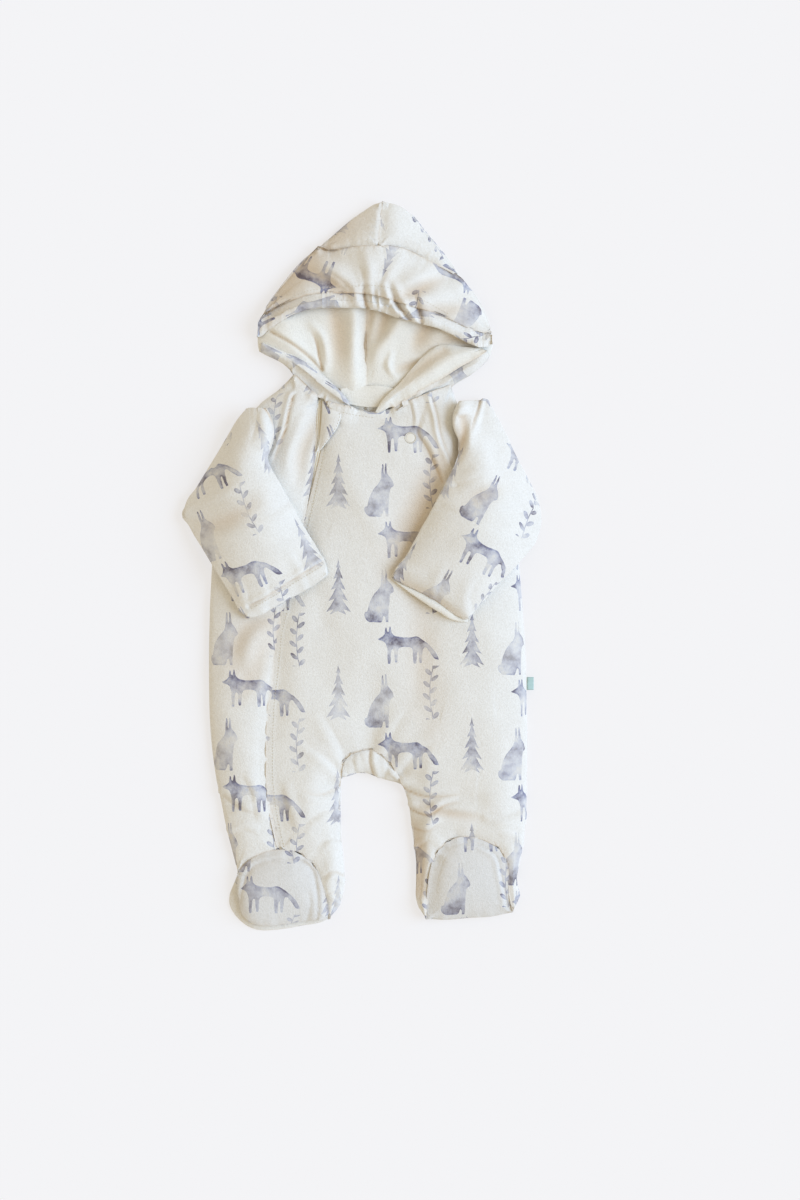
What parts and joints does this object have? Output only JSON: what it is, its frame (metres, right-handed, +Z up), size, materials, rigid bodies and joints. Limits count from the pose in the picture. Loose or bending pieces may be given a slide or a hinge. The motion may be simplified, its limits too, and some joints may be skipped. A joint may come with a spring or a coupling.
{
  "type": "baby overall",
  "caption": "Padded, hooded baby overall with closed feet and a slanting front zip, laid flat on its back with its sleeves over its sides.",
  "frame": {"origin": "centre of the bounding box on the surface that the garment lies on", "axes": "+Y from the feet to the hood, +X across the garment to the right as seen from above, +Z up from the surface"},
  "size_m": [0.3351, 0.68, 0.0406],
  "materials": {
    "printed_velour": "cream velour with a pale slate print",
    "plain_velour": "plain cream velour",
    "zip_tape": "cream woven tape with a nylon coil",
    "popper_ring": "cream, satin",
    "label_tape": "mint satin tape, bare"
  },
  "bodies": {
    "root": {"back": "printed_velour", "front_main": "printed_velour", "front_side": "printed_velour", "gusset": "printed_velour", "zip": "zip_tape", "zip_guard": "printed_velour", "popper": "popper_ring", "label": "label_tape", "sole_left": "printed_velour", "sole_right": "printed_velour", "sleeve_left_upper": "printed_velour", "sleeve_left_under": "printed_velour", "sleeve_right_upper": "printed_velour", "sleeve_right_under": "plain_velour", "hood_back": "printed_velour", "hood_front": "printed_velour", "hood_casing": "printed_velour", "crown_left": "printed_velour", "crown_right": "printed_velour", "lip_left": "printed_velour", "lip_right": "printed_velour", "lining_left": "plain_velour", "lining_right": "plain_velour", "lining_roll_right": "plain_velour", "neck_facing": "plain_velour"}
  },
  "joints": []
}
